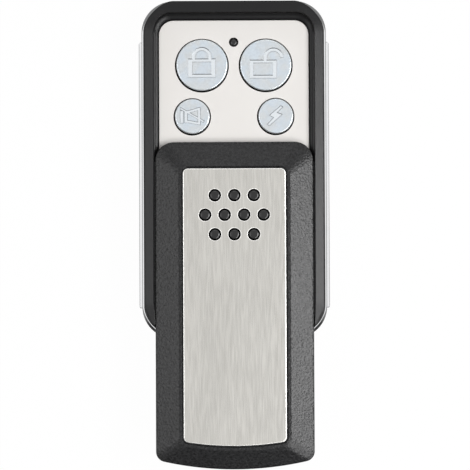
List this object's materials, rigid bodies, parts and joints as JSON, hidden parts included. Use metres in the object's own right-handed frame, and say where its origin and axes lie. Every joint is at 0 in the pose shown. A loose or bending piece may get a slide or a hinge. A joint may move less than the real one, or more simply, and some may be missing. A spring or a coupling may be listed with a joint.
{
  "type": "garage door remote",
  "caption": "Hand-held radio remote with a sliding cover over round push buttons, a bright band with grip rails, and a battery door in the back.",
  "frame": {"origin": "middle of the back face of the case, at the face", "axes": "+Z from the back to the buttons, +Y along the case to the indicator end, +X across the case"},
  "size_m": [0.037, 0.0909, 0.015],
  "materials": {
    "case_black": "moulded, fine satin",
    "cover_black": "moulded, fine leather grain",
    "band_chrome": "polished plating",
    "key_plate_white": "smooth satin off-white",
    "button_silver": "fine metallic silver",
    "plate_brushed": "brushed lengthwise",
    "guide_smoke": "smoked clear plastic",
    "board_green": "solder resist",
    "cell_skin": "plain sleeve",
    "contact_nickel": "nickel plated",
    "screw_steel": "dark zinc",
    "led_clear": "clear",
    "chip_black": "moulded",
    "chip_ceramic": "matt",
    "coil_copper": "enamelled",
    "switch_black": "moulded",
    "plunger_brown": "moulded"
  },
  "bodies": {
    "case": {"antenna_coil": "coil_copper", "battery": "cell_skin", "battery_spring": "contact_nickel", "case_screws": "screw_steel", "chip_capacitors": "chip_ceramic", "chip_resistors": "chip_black", "chrome_band": "band_chrome", "circuit_board": "board_green", "encoder_chip": "chip_black", "front_shell": "case_black", "key_plate": "key_plate_white", "led_chip": "led_clear", "light_guide": "guide_smoke", "plus_contact": "contact_nickel", "rear_shell": "case_black", "resonator_can": "contact_nickel", "rf_transistor": "chip_black", "spring_terminal": "contact_nickel", "switch_frame_flash": "contact_nickel", "switch_frame_lock": "contact_nickel", "switch_frame_mute": "contact_nickel", "switch_frame_unlock": "contact_nickel", "switch_housing_flash": "switch_black", "switch_housing_lock": "switch_black", "switch_housing_mute": "switch_black", "switch_housing_unlock": "switch_black", "trimmer": "chip_ceramic"},
    "cover": {"slide_cover": "cover_black", "cover_plate": "plate_brushed"},
    "door": {"battery_door": "case_black"},
    "lock_key": {"button_lock": "button_silver", "switch_plunger_lock": "plunger_brown"},
    "unlock_key": {"button_unlock": "button_silver", "switch_plunger_unlock": "plunger_brown"},
    "mute_key": {"button_mute": "button_silver", "switch_plunger_mute": "plunger_brown"},
    "flash_key": {"button_flash": "button_silver", "switch_plunger_flash": "plunger_brown"}
  },
  "joints": [
    {"name": "cover_slide", "type": "slide", "parent": "case", "child": "cover", "axis": [0, 1, 0], "range_m": [0, 0.0249]},
    {"name": "door_slide", "type": "slide", "parent": "case", "child": "door", "axis": [0, -1, 0], "range_m": [0, 0.0315]},
    {"name": "lock_press", "type": "slide", "parent": "case", "child": "lock_key", "axis": [0, 0, -1], "range_m": [0, 0.0004], "stiffness_N_per_m": 4000},
    {"name": "unlock_press", "type": "slide", "parent": "case", "child": "unlock_key", "axis": [0, 0, -1], "range_m": [0, 0.0004], "stiffness_N_per_m": 4000},
    {"name": "mute_press", "type": "slide", "parent": "case", "child": "mute_key", "axis": [0, 0, -1], "range_m": [0, 0.0004], "stiffness_N_per_m": 4000},
    {"name": "flash_press", "type": "slide", "parent": "case", "child": "flash_key", "axis": [0, 0, -1], "range_m": [0, 0.0004], "stiffness_N_per_m": 4000}
  ]
}
